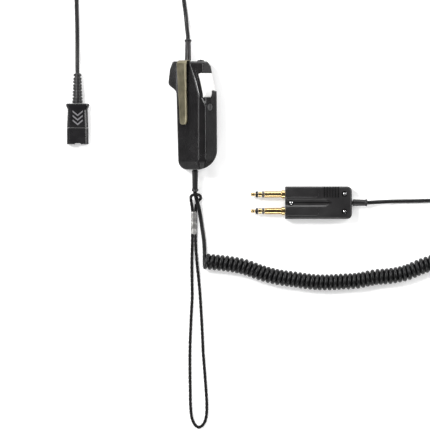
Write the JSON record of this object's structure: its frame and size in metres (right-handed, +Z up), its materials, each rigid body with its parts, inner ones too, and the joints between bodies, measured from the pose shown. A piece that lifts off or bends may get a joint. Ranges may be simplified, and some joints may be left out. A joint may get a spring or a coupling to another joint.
{
  "type": "push-to-talk headset adapter lead",
  "caption": "Hand-held push-to-talk pod with belt clip, set in a lead between a quick-release headset connector and a coiled cord with a twin plug.",
  "frame": {"origin": "on the resting plane, under the centre of the pod's bounding box", "axes": "+Y along the pod towards the headset lead, +X towards the button side, +Z up"},
  "size_m": [0.406, 0.4794, 0.0326],
  "materials": {
    "black_plastic": "satin",
    "white_plastic": "semi-gloss",
    "black_rubber": "matt",
    "cord_jacket": "satin",
    "braid": "matt braid",
    "clip_steel": "satin, warm grey",
    "screw_steel": "bright",
    "ferrule_metal": "satin",
    "gold_plate": "polished gold plate",
    "insulator": "gloss",
    "board_green": "satin",
    "grey_plastic": "matt"
  },
  "bodies": {
    "root": {"back_shell": "black_plastic", "front_shell": "black_plastic", "button_pivot_pin": "screw_steel", "button_return_spring": "screw_steel", "circuit_board": "board_green", "microswitch_body": "grey_plastic", "trimmer_body": "grey_plastic", "headset_lead_header": "grey_plastic", "console_lead_header": "grey_plastic", "microphone_amplifier": "grey_plastic", "coupling_capacitor": "grey_plastic", "volume_pot": "grey_plastic", "housing_screw_1": "screw_steel", "housing_screw_2": "screw_steel", "housing_screw_3": "screw_steel", "headset_lead_boot": "black_rubber", "console_lead_boot": "black_rubber", "connector_rear_body": "black_plastic", "connector_front_sleeve": "black_plastic", "contact_carrier": "grey_plastic", "contact_blade_1": "gold_plate", "contact_blade_2": "gold_plate", "contact_blade_3": "gold_plate", "contact_blade_4": "gold_plate", "connector_boot": "black_rubber", "plug_top_shell": "black_plastic", "plug_bottom_shell": "black_plastic", "plug_screw_1": "screw_steel", "plug_screw_2": "screw_steel", "plug_screw_3": "screw_steel", "plug_boot": "black_rubber", "upper_prong_tip": "gold_plate", "upper_prong_front_insulator": "insulator", "upper_prong_ring": "gold_plate", "upper_prong_rear_insulator": "insulator", "upper_prong_sleeve": "gold_plate", "lower_prong_tip": "gold_plate", "lower_prong_front_insulator": "insulator", "lower_prong_ring": "gold_plate", "lower_prong_rear_insulator": "insulator", "lower_prong_sleeve": "gold_plate", "headset_lead": "cord_jacket", "console_lead_upper": "cord_jacket", "console_coil": "cord_jacket", "console_lead_tail": "cord_jacket", "lanyard_loop": "braid", "lanyard_eye": "braid", "lanyard_ferrule": "ferrule_metal"},
    "button": {"ptt_button": "white_plastic"},
    "switch_plunger": {"microswitch_plunger": "white_plastic"},
    "thumbwheel": {"volume_thumbwheel": "black_plastic"},
    "trimmer": {"gain_trimmer": "black_plastic"},
    "clip": {"belt_clip": "clip_steel"}
  },
  "joints": [
    {"name": "button_press", "type": "hinge", "parent": "root", "child": "button", "pos_m": [0.01112, 0.03589, 0.02261], "axis": [0.7226, 0, -0.6912], "range_deg": [0, 5.5], "stiffness_Nm_per_rad": 0.3, "springref_deg": -5.73},
    {"name": "plunger_slide", "type": "slide", "parent": "root", "child": "switch_plunger", "axis": [-0.6912, 0, -0.7226], "range_m": [0, 0.0019]},
    {"name": "volume_turn", "type": "hinge", "parent": "root", "child": "thumbwheel", "pos_m": [0.0074, 0.0462, 0.0145], "axis": [0, 0, 1], "range_deg": [-135, 135]},
    {"name": "gain_turn", "type": "hinge", "parent": "root", "child": "trimmer", "pos_m": [0.01664, 0.0073, 0.02737], "axis": [0.6912, 0, 0.7226], "range_deg": [-135, 135]},
    {"name": "clip_flex", "type": "hinge", "parent": "root", "child": "clip", "pos_m": [-0.00566, 0.0502, 0.01735], "axis": [-0.7714, 0, -0.6364], "range_deg": [0, 6], "stiffness_Nm_per_rad": 1.5, "springref_deg": -5.73}
  ],
  "couplings": [
    {"joint": "plunger_slide", "follows": "button_press", "m_per_rad": 0.0163}
  ]
}
